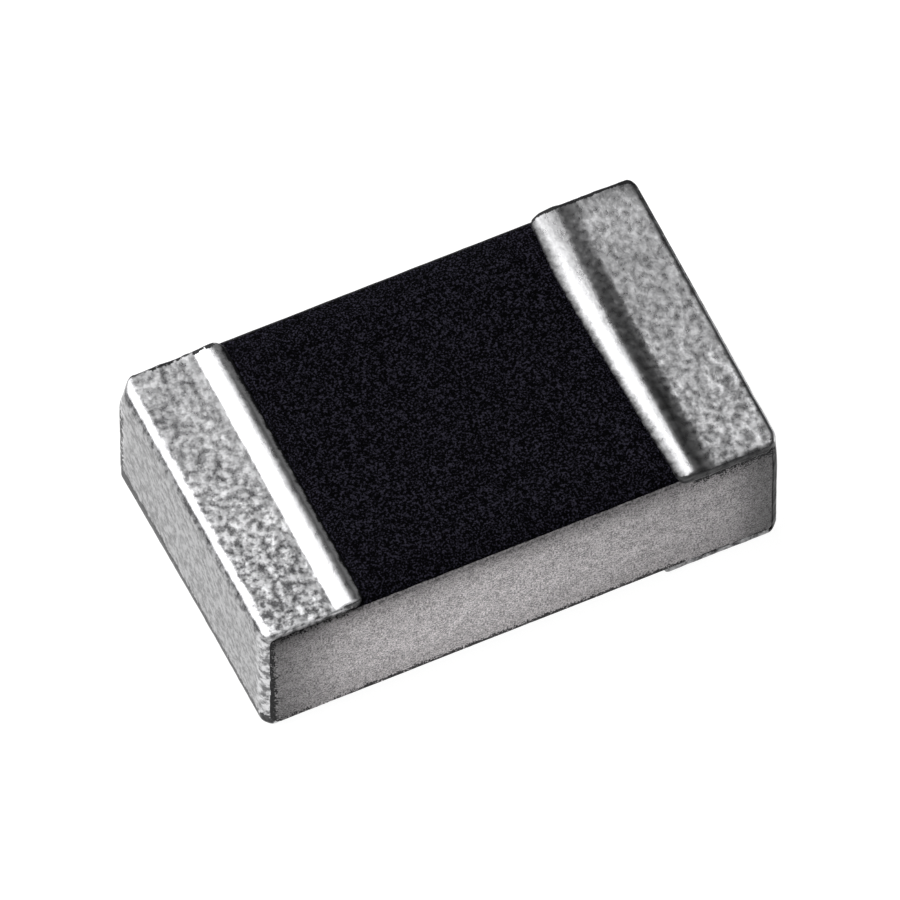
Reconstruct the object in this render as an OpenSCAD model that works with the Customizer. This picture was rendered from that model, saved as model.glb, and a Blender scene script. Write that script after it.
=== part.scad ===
// Thick-film chip resistor in the metric 2012 size.
// A ceramic plate carries a printed resistive film under a glass coat and a black overcoat.
// Electrodes are printed on and under both ends of the plate, and each end is wrapped by an edge
// electrode, a nickel barrier and a tin plating, which stands up as a bead beside the overcoat.
// +X runs along the chip, +Z is up, and the origin lies under the middle of the chip,
// in the plane of the two solder lands.

/* [Ceramic plate] */
// Length of the finished chip, over the tin on both ends
chip_length = 2.0; // [1.6:0.05:3.2]
// Width of the ceramic plate
plate_width = 1.22; // [1.1:0.01:2.5]
// Thickness of the ceramic plate
plate_thickness = 0.52; // [0.3:0.01:0.7]
// Radius on the end edges of the plate
plate_end_radius = 0.024; // [0.014:0.002:0.04]
// Radius on the long edges of the plate
plate_long_radius = 0.012; // [0.006:0.002:0.02]
// Radius on the upright corners of the plate
plate_corner_radius = 0.036; // [0.02:0.002:0.06]

/* [Lands] */
// Length of the left top land, from the chip's end to the black overcoat
top_land_left = 0.378; // [0.3:0.002:0.46]
// Length of the right top land, from the chip's end to the black overcoat
top_land_right = 0.393; // [0.3:0.002:0.46]
// Length of the solder lands under the chip
bottom_land = 0.45; // [0.3:0.01:0.6]
// Bare ceramic left by the left edge electrode along each long side
edge_inset_left = 0.026; // [0.022:0.002:0.05]
// Bare ceramic left by the right edge electrode along each long side
edge_inset_right = 0.008; // [0.002:0.002:0.05]
// Radius on the upright corners of the edge electrodes
wrap_radius = 0.045; // [0.02:0.005:0.08]
// Radius on the long edges of the edge electrodes
roll_radius = 0.004; // [0.002:0.001:0.006]

/* [Bead] */
// Height of the bead over the flat of the top land
bead_height = 0.01; // [0.004:0.001:0.016]
// Run of the bead's outer slope, from the flat land up to the crest
bead_run = 0.065; // [0.04:0.005:0.1]
// Run of the left bead's nose, from the crest down to the overcoat
nose_run_left = 0.026; // [0.016:0.002:0.08]
// Run of the right bead's nose, from the crest down to the overcoat
nose_run_right = 0.066; // [0.016:0.002:0.08]
// Height of the upright wall at the foot of the nose
nose_wall = 0.003; // [0.002:0.001:0.005]
// Radius that tapers both ends of the bead
bead_end_radius = 0.04; // [0.03:0.005:0.1]

/* [Layer thicknesses] */
// Printed electrodes on top of the plate
top_electrode_t = 0.008; // [0.005:0.001:0.012]
// Printed electrodes under the plate
back_electrode_t = 0.008; // [0.005:0.001:0.012]
// Resistive film
film_t = 0.008; // [0.005:0.001:0.012]
// Glass coat over the film
glass_t = 0.006; // [0.004:0.001:0.01]
// Black overcoat above the highest part of the glass
overcoat_t = 0.008; // [0.005:0.001:0.014]
// Edge electrode
edge_t = 0.005; // [0.003:0.001:0.01]
// Nickel barrier
nickel_t = 0.005; // [0.003:0.001:0.01]
// Tin plating
tin_t = 0.01; // [0.007:0.001:0.02]

/* [Film outlines] */
// Width of the resistive film
film_width = 0.8; // [0.5:0.02:0.86]
// Length of film lying on each top electrode
film_overlap = 0.07; // [0.04:0.005:0.1]
// Glass reaching past the film on all four sides
glass_margin = 0.02; // [0.01:0.002:0.04]
// Distance from the foot of each bead to the end of the glass
glass_setback = 0.025; // [0.015:0.005:0.05]
// Run of the sloped inner end of the top electrodes
electrode_taper = 0.02; // [0.01:0.005:0.04]
// Edge electrode lapping each side of the printed electrodes
electrode_cover = 0.015; // [0.008:0.001:0.03]
// Overcoat tucked under each bead
overcoat_tuck = 0.03; // [0.02:0.002:0.04]
// Run of the overcoat's rounded slope towards each land
overcoat_slope = 0.12; // [0.08:0.01:0.16]
// Run of the overcoat's rounded shoulder along each long side
overcoat_shoulder = 0.14; // [0.08:0.01:0.16]
// Height of the overcoat's rim at the long edges of the plate
overcoat_rim = 0.004; // [0.002:0.001:0.006]

/* [Trim cut] */
// Width of the laser cut that sets the resistance
trim_kerf = 0.04; // [0.02:0.005:0.06]
// Depth of the cut across the film, from its front edge
trim_plunge = 0.38; // [0.15:0.01:0.44]
// Length of the cut's leg along the film
trim_leg = 0.22; // [0.1:0.01:0.3]
// Place of the cut along the chip, from its middle
trim_offset = -0.15; // [-0.2:0.01:0.1]

/* [Hidden] */
$fn = 64;

LEFT = -1;
RIGHT = 1;

// Growth of each wrapped layer over the plate's end, from the edge electrode outwards
edge_growth = edge_t;
nickel_growth = edge_growth + nickel_t;
tin_growth = nickel_growth + tin_t;

// Plate and printed electrodes: sizes and heights
plate_length = chip_length - 2 * tin_growth;
core_bottom = tin_growth;
plate_bottom = core_bottom + back_electrode_t;
plate_top = plate_bottom + plate_thickness;
plate_middle = (plate_bottom + plate_top) / 2;
core_top = plate_top + top_electrode_t;
electrode_inset = max(edge_inset_left, edge_inset_right) + electrode_cover;
electrode_width = plate_width - 2 * electrode_inset;

// Heights of the coats and of the top lands
overcoat_top = core_top + film_t + glass_t + overcoat_t;
land_top = core_top + tin_growth;

// Places along the chip at one end, counted from the middle; both ends are drawn on the -X side
function land(side) = side == LEFT ? top_land_left : top_land_right;
function nose_run(side) = side == LEFT ? nose_run_left : nose_run_right;
function edge_inset(side) = side == LEFT ? edge_inset_left : edge_inset_right;
function foot_x(side) = land(side) - chip_length / 2;
function crest_x(side) = foot_x(side) - nose_run(side);
function overcoat_x(side) = foot_x(side) - overcoat_tuck;
function glass_x(side) = foot_x(side) + glass_setback;
function film_x(side) = glass_x(side) + glass_margin;
function electrode_x(side) = film_x(side) + film_overlap;
back_electrode_x = bottom_land - tin_growth - chip_length / 2;

// Width of a wrapped layer that has grown this far over the plate's end
function layer_width(side, growth) = plate_width - 2 * edge_inset(side) + 2 * (growth - edge_growth);

// Radius of an arc that leaves a flat tangentially and drops by rise over run
function arc_radius(run, rise) = (run * run + rise * rise) / (2 * rise);

// Height of the overcoat under the foot of each bead, and of the nose's lower end there
overcoat_slope_radius = arc_radius(overcoat_slope, overcoat_top - core_top);
overcoat_at_foot = overcoat_top - overcoat_slope_radius
    + sqrt(pow(overcoat_slope_radius, 2) - pow(overcoat_slope - overcoat_tuck, 2));
nose_foot = overcoat_at_foot + nose_wall;

// Extrudes an X-Z outline across the chip, centred
module along_y(width) {
    rotate([90, 0, 0]) linear_extrude(height = width, center = true) children();
}

// Extrudes a Y-Z outline along the chip, centred
module along_x(length) {
    rotate([90, 0, 90]) linear_extrude(height = length, center = true) children();
}

// Mirrors what is drawn for the -X end to the +X end for the right side
module at_end(side) {
    mirror([side == RIGHT ? 1 : 0, 0, 0]) children();
}

// Rectangle from one corner to the other with all four corners round
module round_rectangle(low, high, radius) {
    size = high - low;
    translate(low + [radius, 0]) square(size - [2 * radius, 0]);
    translate(low + [0, radius]) square(size - [0, 2 * radius]);
    for (x = [low.x + radius, high.x - radius], y = [low.y + radius, high.y - radius])
        translate([x, y]) circle(radius);
}

// Outline with a flat top that rounds off over run at both ends, down to rise under the top
module mesa(left, right, base, top, run, rise) {
    radius = arc_radius(run, rise);
    intersection() {
        translate([left, base]) square([right - left, top - base]);
        union() {
            translate([left + run, base]) square([right - left - 2 * run, top - base]);
            for (x = [left + run, right - run]) translate([x, top - radius]) circle(radius);
        }
    }
}

// Plan of the plate with its round corners
module plate_plan() {
    corner = [plate_length / 2, plate_width / 2];
    round_rectangle(-corner, corner, plate_corner_radius);
}

// Plate with round end edges and sharp long edges, standing on the plan drawn as its child
module plate_over_plan(width) {
    half_length = plate_length / 2;
    intersection() {
        along_y(width) round_rectangle(
            [-half_length, plate_bottom], [half_length, plate_top], plate_end_radius);
        linear_extrude(height = land_top) children();
    }
}

module ceramic_plate() {
    half_width = plate_width / 2;
    color("gainsboro")
        intersection() {
            plate_over_plan(plate_width) plate_plan();
            along_x(plate_length) round_rectangle(
                [-half_width, plate_bottom], [half_width, plate_top], plate_long_radius);
        }
}

// Room for the plate inside the wrapped layers, carried out past their sides between its corners,
// so that the layers stay open there and show only a rim round the ceramic
module plate_room() {
    room_width = 2 * plate_width;
    corner = [plate_length / 2 - plate_corner_radius, room_width / 2];
    plate_over_plan(room_width) {
        plate_plan();
        translate(-corner) square(2 * corner);
    }
}

// Printed on the flat of the plate, with an inner end that slopes down to the ceramic
module top_electrode(side) {
    outer_x = plate_end_radius - plate_length / 2;
    inner_x = electrode_x(side);
    color("silver")
        at_end(side) along_y(electrode_width) polygon([
            [outer_x, plate_top],
            [inner_x + electrode_taper, plate_top],
            [inner_x, core_top],
            [outer_x, core_top]
        ]);
}

module back_electrode(side) {
    outer_x = plate_end_radius - plate_length / 2;
    color("silver")
        at_end(side)
            translate([outer_x, -electrode_width / 2, core_bottom])
                cube([back_electrode_x - outer_x, electrode_width, back_electrode_t]);
}

// Strip laid over the plate and both electrodes, this thick over what it covers
module draped_strip(left, right, cover, width) {
    on_left = electrode_x(LEFT);
    on_right = -electrode_x(RIGHT);
    along_y(width) polygon([
        [left, plate_top],
        [left, core_top + cover],
        [on_left, core_top + cover],
        [on_left + electrode_taper, plate_top + cover],
        [on_right - electrode_taper, plate_top + cover],
        [on_right, core_top + cover],
        [right, core_top + cover],
        [right, plate_top]
    ]);
}

// L-shaped laser cut through the glass and the film, in from the front edge of the glass
module trim_cut() {
    front_y = -film_width / 2;
    cut_start = front_y - 2 * glass_margin;
    cut_height = overcoat_top - plate_top;
    translate([trim_offset, cut_start, plate_top])
        cube([trim_kerf, front_y + trim_plunge - cut_start, cut_height]);
    translate([trim_offset, front_y + trim_plunge - trim_kerf, plate_top])
        cube([trim_leg, trim_kerf, cut_height]);
}

module film_body() {
    draped_strip(film_x(LEFT), -film_x(RIGHT), film_t, film_width);
}

module glass_body() {
    draped_strip(glass_x(LEFT), -glass_x(RIGHT), film_t + glass_t, film_width + 2 * glass_margin);
}

module overcoat_body() {
    half_width = plate_width / 2 - plate_long_radius;
    intersection() {
        along_y(plate_width) mesa(
            overcoat_x(LEFT), -overcoat_x(RIGHT), plate_top, overcoat_top,
            overcoat_slope, overcoat_top - core_top);
        along_x(chip_length) mesa(
            -half_width, half_width, plate_top, overcoat_top,
            overcoat_shoulder, overcoat_top - plate_top - overcoat_rim);
    }
}

module top_electrodes() {
    top_electrode(LEFT);
    top_electrode(RIGHT);
}

module resistive_film() {
    color("dimgray")
        difference() {
            film_body();
            top_electrodes();
            trim_cut();
        }
}

module glass_coat() {
    color("darkseagreen")
        difference() {
            glass_body();
            film_body();
            top_electrodes();
            trim_cut();
        }
}

// Lies on the ceramic and the electrodes, covers the glass and fills the trim cut
module black_overcoat() {
    color([0.07, 0.07, 0.09])
        difference() {
            overcoat_body();
            top_electrodes();
            difference() {
                glass_body();
                trim_cut();
            }
        }
}

// X-Z outline of an end wrapped by a layer of this growth, filled in where the plate is.
// The arms end round, one growth past the bare electrodes that they cover.
module wrap_outline(side, growth) {
    end_x = -plate_length / 2 - growth;
    top_end = overcoat_x(side);
    radius = plate_end_radius + growth;
    corner_x = end_x + radius;
    translate([corner_x, plate_middle])
        square([top_end - corner_x, core_top + growth - plate_middle]);
    translate([corner_x, core_bottom - growth])
        square([back_electrode_x - corner_x, plate_middle - core_bottom + growth]);
    translate([end_x, core_bottom - growth + radius])
        square([radius, core_top - core_bottom + 2 * (growth - radius)]);
    for (z = [core_bottom - growth + radius, core_top + growth - radius])
        translate([corner_x, z]) circle(radius);
    translate([top_end, plate_middle]) square([growth, core_top - plate_middle]);
    translate([top_end, core_top]) circle(growth);
    translate([back_electrode_x, core_bottom]) square([growth, plate_middle - core_bottom]);
    translate([back_electrode_x, core_bottom]) circle(growth);
}

// Rounds the upright corners and the long edges of an end wrapped by a layer of this growth
module wrap_rounding(side, growth) {
    end_x = -plate_length / 2 - growth;
    half_width = layer_width(side, growth) / 2;
    corner = wrap_radius + growth - edge_growth;
    roll = roll_radius + growth - edge_growth;
    intersection() {
        linear_extrude(height = land_top + core_bottom)
            round_rectangle([end_x, -half_width], [-end_x, half_width], corner);
        along_x(chip_length) round_rectangle(
            [-half_width, core_bottom - growth], [half_width, core_top + growth], roll);
    }
}

// Solid end of the chip out to a layer of this growth
module wrapped_end(side, growth) {
    intersection() {
        along_y(layer_width(side, growth)) wrap_outline(side, growth);
        wrap_rounding(side, growth);
    }
}

// Outline under an arc that starts level at the origin and drops over run, down to a depth
module nose_outline(run, drop, depth) {
    radius = run < drop ? run : arc_radius(run, drop);
    arc_drop = min(drop, radius);
    intersection() {
        translate([0, -radius]) circle(radius);
        translate([0, -arc_drop]) square([radius, arc_drop]);
    }
    translate([0, -depth]) square([run, depth - arc_drop]);
}

// Flat top land with its nose, from the end of the exposed electrode to the overcoat
module land_outline(side) {
    wrap_outline(side, tin_growth);
    translate([overcoat_x(side) - tin_growth, plate_middle])
        square([crest_x(side) - overcoat_x(side) + tin_growth, land_top - plate_middle]);
    translate([crest_x(side), land_top])
        nose_outline(nose_run(side), land_top - nose_foot, land_top - plate_middle);
}

// Bead along the inner margin of the top land, with ends that taper into the land
module bead(side) {
    crest = land_top + bead_height;
    radius = arc_radius(bead_run, bead_height);
    half_width = layer_width(side, tin_growth) / 2;
    intersection() {
        along_y(2 * half_width) translate([crest_x(side), crest]) {
            intersection() {
                translate([0, -radius]) circle(radius);
                translate([-radius, -bead_height]) square([radius, bead_height]);
            }
            translate([-bead_run, -bead_height - tin_t / 2]) square([bead_run, tin_t / 2]);
            nose_outline(nose_run(side), crest - nose_foot, crest - core_top);
        }
        along_x(chip_length) round_rectangle(
            [-half_width, plate_bottom], [half_width, crest], bead_end_radius);
    }
}

module tin_body(side) {
    intersection() {
        along_y(layer_width(side, tin_growth)) land_outline(side);
        wrap_rounding(side, tin_growth);
    }
    bead(side);
}

module edge_electrode(side) {
    color("lightgray")
        difference() {
            at_end(side) wrapped_end(side, edge_growth);
            plate_room();
            top_electrode(side);
            back_electrode(side);
            overcoat_body();
        }
}

module nickel_barrier(side) {
    color("darkgray")
        difference() {
            at_end(side) wrapped_end(side, nickel_growth);
            at_end(side) wrapped_end(side, edge_growth);
            plate_room();
            overcoat_body();
        }
}

module tin_plating(side) {
    color([0.74, 0.74, 0.75])
        difference() {
            at_end(side) tin_body(side);
            at_end(side) wrapped_end(side, nickel_growth);
            plate_room();
            overcoat_body();
        }
}

ceramic_plate();
top_electrode(LEFT);  // top_electrode_left
top_electrode(RIGHT);  // top_electrode_right
back_electrode(LEFT);  // back_electrode_left
back_electrode(RIGHT);  // back_electrode_right
resistive_film();
glass_coat();
black_overcoat();
edge_electrode(LEFT);  // edge_electrode_left
edge_electrode(RIGHT);  // edge_electrode_right
nickel_barrier(LEFT);  // nickel_barrier_left
nickel_barrier(RIGHT);  // nickel_barrier_right
tin_plating(LEFT);  // tin_plating_left
tin_plating(RIGHT);  // tin_plating_right
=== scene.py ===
"""Looks of a thick-film chip resistor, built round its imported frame.

The visible pieces are shaped in millimetres and scaled to metres at the end, because bevels fail on
edges of a few micrometres in metres. Each piece stands for the node of the frame that has its form.
"""
import math
from types import SimpleNamespace

import bmesh
import bpy
from bpy.props import FloatProperty, FloatVectorProperty, PointerProperty
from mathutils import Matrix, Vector, noise


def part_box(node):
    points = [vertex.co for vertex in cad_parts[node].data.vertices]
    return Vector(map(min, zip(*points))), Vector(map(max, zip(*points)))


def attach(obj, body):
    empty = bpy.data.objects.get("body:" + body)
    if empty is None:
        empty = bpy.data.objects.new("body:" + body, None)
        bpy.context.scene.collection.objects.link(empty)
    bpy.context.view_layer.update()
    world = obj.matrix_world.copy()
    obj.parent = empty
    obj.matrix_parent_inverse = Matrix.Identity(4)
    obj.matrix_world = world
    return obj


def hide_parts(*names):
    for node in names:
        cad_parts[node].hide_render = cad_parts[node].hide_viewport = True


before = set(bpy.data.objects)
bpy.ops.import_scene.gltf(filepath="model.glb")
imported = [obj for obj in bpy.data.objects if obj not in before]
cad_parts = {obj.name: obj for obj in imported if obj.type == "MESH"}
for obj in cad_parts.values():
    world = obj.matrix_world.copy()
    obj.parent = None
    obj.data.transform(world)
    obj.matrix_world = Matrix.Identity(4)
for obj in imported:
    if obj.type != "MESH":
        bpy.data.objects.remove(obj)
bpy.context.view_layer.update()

bl_info = {
    "name": "Chip Resistor Looks",
    "version": (1, 0, 0),
    "blender": (4, 5, 0),
    "location": "3D View > Sidebar > Chip",
    "description": "Builds the visible pieces, the finishes and the stage of a thick-film chip resistor",
    "category": "Add Mesh",
}

# Millimetres in a metre, and a quarter turn
MM = 1000.0
QUARTER = math.pi / 2

# Mesh fineness: cell sides, merging distance, fewest steps of an arc and rings of a rolled margin
CELL = 0.009
PLATE_CELL = 0.02
MERGE = 1e-5
FEWEST_ARC_STEPS = 6
ROLL_RINGS = 7

# Tin margins: how deep they are buried, how far they reach down and over what run the reach changes
BURIED = 0.003
TOE_REACH = 0.012
REACH_RUN = 0.04
FAN_SHARE = 0.95

# Share of a normal from which a face counts as facing along an axis
FACING = 0.9

# Photograph: its side in pixels, pixels per millimetre, and where the middle of the plate lands
PHOTO_SIDE = 900
PHOTO_SCALE = 286.1
PHOTO_MIDDLE = (449.0, 454.1)


def box_mm(node):
    """Lowest and highest corner of a node of the frame, in millimetres."""
    low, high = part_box(node)
    return low * MM, high * MM


PLATE_LOW, PLATE_HIGH = box_mm("ceramic_plate")
PLATE_MIDDLE = (PLATE_LOW.z + PLATE_HIGH.z) / 2.0
COAT_LOW, COAT_HIGH = box_mm("black_overcoat")
CORE_TOP = box_mm("top_electrode_left")[1].z
NICKEL_TOP = box_mm("nickel_barrier_left")[1].z
TIN_END = box_mm("tin_plating_right")[1].x
TIN_HALF = {side: box_mm(f"tin_plating_{side}")[1].y for side in ("left", "right")}


def length(name, description, millimetres):
    """Property for a length that is given in millimetres and kept in metres."""
    return FloatProperty(
        name=name, description=description, default=millimetres / MM,
        min=0.0, precision=6, subtype="DISTANCE", unit="LENGTH")


def colour(name, description, value):
    """Property for a linear colour."""
    return FloatVectorProperty(
        name=name, description=description, default=value, size=3, min=0.0, max=1.0, subtype="COLOR")


def angle(name, description, degrees):
    """Property for an angle that is given in degrees."""
    return FloatProperty(
        name=name, description=description, default=math.radians(degrees), subtype="ANGLE", unit="ROTATION")


def share(name, description, value):
    """Property for a plain number from 0 to 1."""
    return FloatProperty(
        name=name, description=description, default=value, min=0.0, max=1.0, subtype="FACTOR")


class PlateSizes(bpy.types.PropertyGroup):
    """Form of the ceramic plate."""

    left_corner: length("Left corner", "Radius on the upright corners of the left end", 0.052)
    right_corner: length("Right corner", "Radius on the upright corners of the right end", 0.025)
    edge_radius: length("Edge radius", "Radius on the long edges of both faces", 0.012)
    top_end_radius: length("Top end radius", "Radius on the end edges of the top", 0.03)
    low_end_radius: length("Low end radius", "Radius on the end edges of the underside", 0.05)
    snap_depth: length("Snap depth", "Unevenness of the snapped long sides", 0.0014)


class CoatSizes(bpy.types.PropertyGroup):
    """Form of the black coat."""

    slope: length("Slope", "Run of the rounded slope towards each terminal", 0.12)
    shoulder: length("Shoulder", "Run of the rounded shoulder along each long side", 0.14)
    rim: length("Rim", "Height of the coat at its long edges", 0.004)
    edge_waver: length("Edge waver", "Waver of the printed long edges", 0.003)
    ripple: length("Ripple", "Unevenness of the cured face", 0.0006)


class TerminalSizes(bpy.types.PropertyGroup):
    """Form of one tin-plated terminal."""

    land: length("Land", "Top land from the chip's end to the black coat", 0.38)
    foot_slant: length("Foot slant", "How much longer the land is at the back than at the front", 0.0)
    foot_belly: length("Foot belly", "How much longer the land is in the middle than at both sides", 0.0)
    nose_run: length("Nose run", "Run of the bead's nose down to the coat", 0.03)
    nose_wall: length("Nose wall", "Upright wall at the foot of the nose", 0.003)
    bead_height: length("Bead height", "Height of the bead over the land", 0.01)
    bead_run: length("Bead run", "Run of the bead's outer slope", 0.065)
    bead_taper: length("Bead taper", "Radius that tapers the ends of the bead", 0.011)
    bead_bow: length("Bead bow", "How far the bead bows towards the chip's end at the back", 0.0)
    crest_bow: length("Crest bow", "How much further its crest bows, from the middle on", 0.0)
    bead_fade: share("Bead fade", "How much lower the bead is at the back", 0.0)
    bead_sag: share("Bead sag", "How far the bead's outer slope sags, steepest beside its crest", 0.0)
    bead_waver: length("Bead waver", "Waver of the bead along its length", 0.004)
    waver_length: length("Waver length", "Length of one waver of the bead", 0.14)
    end_radius: length("End radius", "Radius on the top end edge", 0.044)
    toe_radius: length("Toe radius", "Radius on the bottom end edge", 0.056)
    toe_square: share("Toe square", "How square the bottom end edge becomes towards the back", 0.0)
    foot_feather: length("Foot feather", "Run over which the tin thins out on the coat", 0.026)
    front_corner: length("Front corner", "Radius on the front upright corner", 0.045)
    front_brow: length("Front brow", "Radius on the front upright corner at its top", 0.04)
    back_corner: length("Back corner", "Radius on the back upright corner", 0.03)
    back_brow: length("Back brow", "Radius on the back upright corner at its top", 0.078)
    corner_wrap: length("Corner wrap", "How far the end face wraps on to the long sides", 0.018)
    nose_corner: length("Nose corner", "Radius on the ends of the nose, seen from above", 0.02)
    end_slant: length("End slant", "How far the end face is set back at the front", 0.0)
    roll_radius: length("Roll radius", "Radius on the long margins", 0.009)
    foot_roll: length("Foot roll", "Radius on the long margins under the chip", 0.02)
    foot_inset: length("Foot inset", "How far the margins under the chip are set back", 0.0)
    arm_radius: length("Arm radius", "Radius on the inner end of the arm under the chip", 0.02)
    tin_thickness: length("Tin thickness", "Thickness of the tin alone", 0.008)
    fine_grain: length("Fine grain", "Depth of the grain towards the back", 0.0008)
    coarse_grain: length("Coarse grain", "Depth of the grain towards the front", 0.0018)
    edge_lumps: length("Edge lumps", "Unevenness of the long margins", 0.004)


# What differs from those sizes at each end: lengths in millimetres, and shares
END_LENGTHS = {
    "chip_left": {
        "land": 0.402, "nose_run": 0.042, "nose_corner": 0.042, "end_radius": 0.04, "toe_radius": 0.047,
        "end_slant": 0.0075, "roll_radius": 0.002, "back_corner": 0.022, "bead_taper": 0.004,
        "foot_roll": 0.026,
    },
    "chip_right": {
        "land": 0.415, "nose_run": 0.079, "nose_corner": 0.046, "end_radius": 0.022, "toe_radius": 0.047,
        "end_slant": 0.0075, "foot_slant": 0.03, "foot_belly": 0.01, "foot_feather": 0.036,
        "foot_inset": 0.0065, "bead_run": 0.07, "bead_bow": 0.018, "crest_bow": 0.018,
        "bead_waver": 0.008, "waver_length": 0.3, "front_corner": 0.046, "front_brow": 0.067,
        "back_corner": 0.036, "back_brow": 0.045, "corner_wrap": 0.0,
    },
}
END_SHARES = {
    "chip_left": {"toe_square": 1.0},
    "chip_right": {"bead_sag": 0.5, "bead_fade": 0.45},
}


class Finishes(bpy.types.PropertyGroup):
    """Colours of the finishes, as linear light."""

    ceramic: colour("Ceramic", "Fired ceramic in the middle of the chip", (0.71, 0.675, 0.685))
    # Colour the ceramic fades to towards both ends
    ceramic_end: colour("Ceramic end", "Ceramic greyed by plating beside the terminals", (0.19, 0.185, 0.187))
    # Dark colour of the seams and of the painted shade on the ceramic and the tin
    seam: colour("Seam", "Dark seam where ceramic and plating meet", (0.01, 0.01, 0.011))
    coat: colour("Coat", "Black overcoat", (0.0003, 0.0002, 0.0006))
    coat_fleck: colour("Coat fleck", "Pale filler in the black overcoat", (0.031, 0.029, 0.044))
    tin: colour("Tin", "Plated tin", (0.72, 0.72, 0.73))
    tin_shade: colour("Tin shade", "Darker grains of the tin", (0.16, 0.16, 0.165))
    nickel: colour("Nickel", "Nickel barrier", (0.42, 0.39, 0.34))
    edge_metal: colour("Edge metal", "Edge electrode", (0.36, 0.35, 0.34))
    silver: colour("Silver", "Printed electrodes", (0.62, 0.60, 0.57))
    resistor: colour("Resistor", "Resistive film", (0.02, 0.02, 0.021))
    glass: colour("Glass", "Glass coat", (0.08, 0.14, 0.1))
    floor: colour("Floor", "Pale light table under the chip", (0.2, 0.2, 0.2))


class StageSettings(bpy.types.PropertyGroup):
    """Camera and light."""

    azimuth: angle("Azimuth", "Camera's angle round the chip from the front", -25.05)
    elevation: angle("Elevation", "Camera's angle above the floor", 56.8)
    lens: FloatProperty(
        name="Lens", description="Focal length, long as a close-up lens far off",
        default=1000.0, unit="CAMERA")
    key_spread: angle("Key spread", "How wide the main soft light looks from the chip", 70.0)
    key_strength: FloatProperty(
        name="Key strength", description="Strength of the main soft light", default=3.6)
    table_glow: share("Table glow", "Light the floor gives off itself, as a light table does", 0.97)
    room: share("Room", "Even light from all round", 0.05)


# Plain shaping helpers

def clamp(value):
    """Value held between 0 and 1."""
    return min(1.0, max(0.0, value))


def ramp(value, start, stop):
    """Smooth step from 0 at the start to 1 at the stop."""
    held = clamp((value - start) / (stop - start))
    return held * held * (3.0 - 2.0 * held)


def arc_radius(run, drop):
    """Radius of an arc that leaves a flat tangentially and drops this far over the run."""
    return (run * run + drop * drop) / (2.0 * drop)


def round_off(inside, run, drop):
    """Drop of such an arc at a distance inside its lower end."""
    if inside >= run:
        return 0.0
    radius = arc_radius(run, drop)
    return radius - math.sqrt(radius * radius - (run - max(inside, 0.0)) ** 2)


def ripple(point, size, seed):
    """Smooth unevenness with bumps of about this size, from -1 to 1."""
    return noise.noise(point / size + Vector((seed, 0.0, 0.0)))


def two_ripples(point, big, small, big_share, seed):
    """Smooth unevenness with bumps of two sizes, from -1 to 1."""
    return big_share * ripple(point, big, seed) + (1.0 - big_share) * ripple(point, small, seed)


def square_to_disc(first, second):
    """Draws a point of the unit square in to the quarter disc that fits it."""
    return first * math.sqrt(1.0 - second * second / 2.0), second * math.sqrt(1.0 - first * first / 2.0)


def coat_height(sizes, x, y):
    """Height of the black coat's face over the chip's base."""
    drop_to_ends = COAT_HIGH.z - CORE_TOP
    drop_to_sides = COAT_HIGH.z - PLATE_HIGH.z - sizes.rim * MM
    end = round_off(min(x - COAT_LOW.x, COAT_HIGH.x - x), sizes.slope * MM, drop_to_ends)
    side = round_off(COAT_HIGH.y - abs(y), sizes.shoulder * MM, drop_to_sides)
    return COAT_HIGH.z - max(end, side)


def made_verts(result):
    """The vertices in what a bmesh operator made."""
    return [item for item in result["geom"] if isinstance(item, bmesh.types.BMVert)]


def made_edges(result):
    """The edges in what a bmesh operator made."""
    return [item for item in result["geom"] if isinstance(item, bmesh.types.BMEdge)]


def round_edges(bm, edges, radius, steps):
    """Bevels edges to a round of this radius."""
    bmesh.ops.bevel(bm, geom=edges, offset=radius, offset_type="OFFSET",
                    affect="EDGES", segments=steps, profile=0.5, material=-1)


def finish_piece(bm, name, node, material):
    """Makes a piece of a closed bmesh in millimetres, standing for a node of the frame."""
    bmesh.ops.remove_doubles(bm, verts=bm.verts, dist=MERGE)
    bmesh.ops.recalc_face_normals(bm, faces=bm.faces)
    bmesh.ops.scale(bm, verts=bm.verts, vec=Vector.Fill(3, 1.0 / MM))
    mesh = bpy.data.meshes.new(name)
    bm.to_mesh(mesh)
    bm.free()
    mesh.shade_smooth()
    mesh.materials.append(material)
    piece = bpy.data.objects.new(name, mesh)
    bpy.context.scene.collection.objects.link(piece)
    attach(piece, "root")
    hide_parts(node)


# Ceramic plate

def shape_plate(sizes):
    """Rounded plate with snapped, slightly uneven long sides."""
    corner_steps, edge_steps = 8, 5
    bm = bmesh.new()
    bmesh.ops.create_cube(bm, size=1.0)
    bmesh.ops.scale(bm, verts=bm.verts, vec=PLATE_HIGH - PLATE_LOW)
    bmesh.ops.translate(bm, verts=bm.verts, vec=(PLATE_HIGH + PLATE_LOW) / 2.0)
    for end, radius in ((PLATE_LOW.x, sizes.left_corner), (PLATE_HIGH.x, sizes.right_corner)):
        upright = [e for e in bm.edges if all(abs(v.co.x - end) < MERGE for v in e.verts)
                   and abs(e.verts[0].co.z - e.verts[1].co.z) > MERGE]
        round_edges(bm, upright, radius * MM, corner_steps)
    level = [f for f in bm.faces if abs(f.normal.z) > FACING]
    rims = [e for f in level for e in f.edges]
    round_edges(bm, rims, sizes.edge_radius * MM, edge_steps)
    cut_into_cells(bm, PLATE_CELL)
    round_ends(bm, sizes)
    roughen_sides(bm, sizes.snap_depth * MM)
    return bm


def cut_into_cells(bm, cell):
    """Cuts the plate by even planes along its length and height, so that its sides can be shaped."""
    for axis in (0, 2):
        low = PLATE_LOW[axis]
        span = PLATE_HIGH[axis] - low
        count = round(span / cell)
        for index in range(1, count):
            point = Vector()
            point[axis] = low + span * index / count
            across = Vector()
            across[axis] = 1.0
            bmesh.ops.bisect_plane(bm, geom=bm.verts[:] + bm.edges[:] + bm.faces[:],
                                   dist=MERGE, plane_co=point, plane_no=across)


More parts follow.
